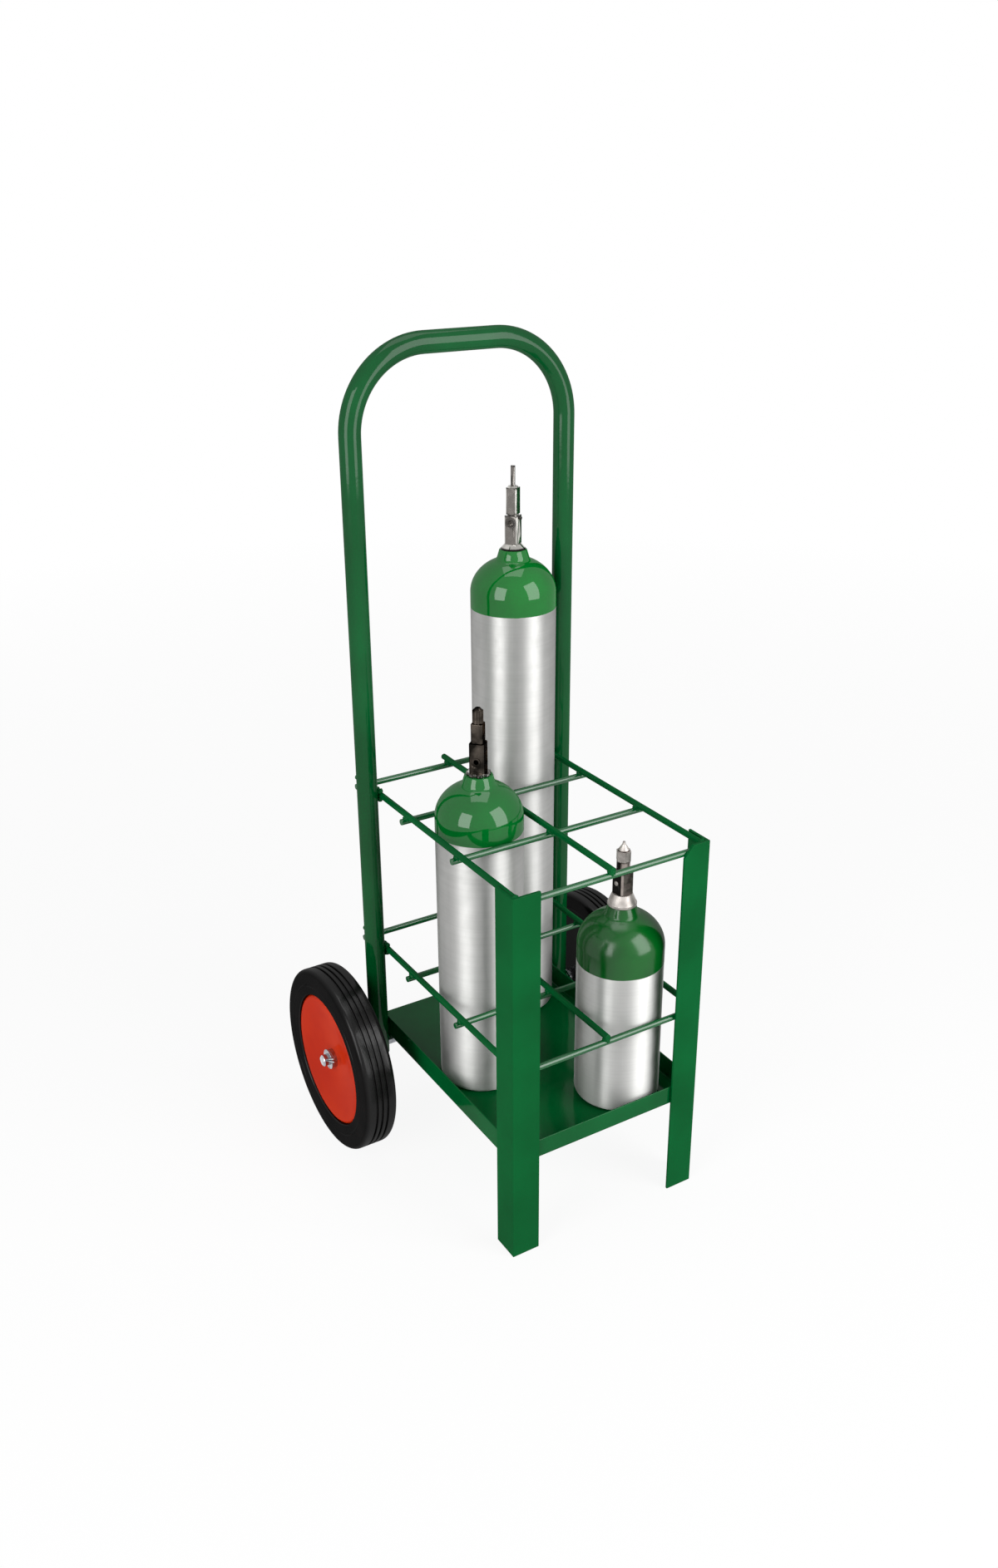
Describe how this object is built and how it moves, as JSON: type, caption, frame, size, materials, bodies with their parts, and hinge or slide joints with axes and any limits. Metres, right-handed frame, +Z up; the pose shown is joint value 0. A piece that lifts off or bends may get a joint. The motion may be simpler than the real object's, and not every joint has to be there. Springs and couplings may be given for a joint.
{
  "type": "gas cylinder cart",
  "caption": "Two-wheeled push cart with a pan tray and two tiers of round-bar bays that hold small gas cylinders upright, a tall tube handle and angle-steel front legs.",
  "frame": {"origin": "on the floor, under the middle of the cart's overall length and width", "axes": "+X to the cart's right as seen from the front, +Y from the front legs to the wheels, +Z up"},
  "size_m": [0.476, 0.468, 1.0783],
  "materials": {
    "green_enamel": "gloss",
    "red_enamel": "gloss",
    "black_enamel": "gloss",
    "tyre_rubber": "satin",
    "plated_steel": "polished",
    "bush_bronze": "satin",
    "shell_aluminium": "satin",
    "valve_plating": "satin",
    "dark_valve": "satin"
  },
  "bodies": {
    "cart": {"handle": "green_enamel", "tray": "green_enamel", "front_leg_left": "green_enamel", "front_leg_right": "green_enamel", "upper_long_rod_left": "green_enamel", "upper_long_rod_middle": "green_enamel", "upper_long_rod_right": "green_enamel", "lower_long_rod_left": "green_enamel", "lower_long_rod_middle": "green_enamel", "lower_long_rod_right": "green_enamel", "upper_cross_rod_1": "green_enamel", "upper_cross_rod_2": "green_enamel", "upper_cross_rod_3": "green_enamel", "upper_cross_rod_4": "green_enamel", "lower_cross_rod_1": "green_enamel", "lower_cross_rod_2": "green_enamel", "lower_cross_rod_3": "green_enamel", "lower_cross_rod_4": "green_enamel", "upper_tier_welds": "green_enamel", "lower_tier_welds": "green_enamel", "handle_welds": "green_enamel", "axle_welds": "green_enamel", "axle": "plated_steel", "axle_washers": "plated_steel", "split_pins": "plated_steel"},
    "wheel_left": {"tyre_left": "tyre_rubber", "outer_disc_left": "red_enamel", "inner_disc_left": "black_enamel", "hub_tube_left": "plated_steel", "hub_bushes_left": "bush_bronze"},
    "wheel_right": {"tyre_right": "tyre_rubber", "outer_disc_right": "red_enamel", "inner_disc_right": "black_enamel", "hub_tube_right": "plated_steel", "hub_bushes_right": "bush_bronze"},
    "tall_cylinder": {"tall_shell": "shell_aluminium", "tall_valve_body": "valve_plating", "tall_valve_post": "valve_plating", "tall_relief_plug": "valve_plating"},
    "tall_valve_stem": {"tall_stem": "valve_plating"},
    "medium_cylinder": {"medium_shell": "shell_aluminium", "medium_neck_ring": "valve_plating", "medium_valve_body": "dark_valve", "medium_valve_post": "dark_valve"},
    "medium_valve_knob": {"medium_knob": "dark_valve"},
    "short_cylinder": {"short_shell": "shell_aluminium", "short_collar": "valve_plating", "short_valve_body": "dark_valve", "short_port_plug": "valve_plating", "short_gland_nut": "valve_plating"},
    "short_valve_spindle": {"short_spindle": "valve_plating"}
  },
  "joints": [
    {"name": "wheel_left_spin", "type": "hinge", "parent": "cart", "child": "wheel_left", "pos_m": [-0.2097, 0.106, 0.128], "axis": [1, 0, 0], "continuous": true},
    {"name": "wheel_right_spin", "type": "hinge", "parent": "cart", "child": "wheel_right", "pos_m": [0.2097, 0.106, 0.128], "axis": [1, 0, 0], "continuous": true},
    {"name": "tall_cylinder_lift", "type": "slide", "parent": "cart", "child": "tall_cylinder", "axis": [0, 0, 1], "range_m": [0, 0.135]},
    {"name": "medium_cylinder_lift", "type": "slide", "parent": "cart", "child": "medium_cylinder", "axis": [0, 0, 1], "range_m": [0, 0.4]},
    {"name": "short_cylinder_lift", "type": "slide", "parent": "cart", "child": "short_cylinder", "axis": [0, 0, 1], "range_m": [0, 0.4]},
    {"name": "tall_valve_turn", "type": "hinge", "parent": "tall_cylinder", "child": "tall_valve_stem", "pos_m": [0.066, 0.094, 0.9], "axis": [0, 0, 1], "range_deg": [0, 270]},
    {"name": "medium_valve_turn", "type": "hinge", "parent": "medium_cylinder", "child": "medium_valve_knob", "pos_m": [-0.066, -0.037, 0.65], "axis": [0, 0, 1], "range_deg": [0, 360]},
    {"name": "short_valve_turn", "type": "hinge", "parent": "short_cylinder", "child": "short_valve_spindle", "pos_m": [0.063, -0.165, 0.49], "axis": [0, 0, 1], "range_deg": [0, 270]}
  ]
}
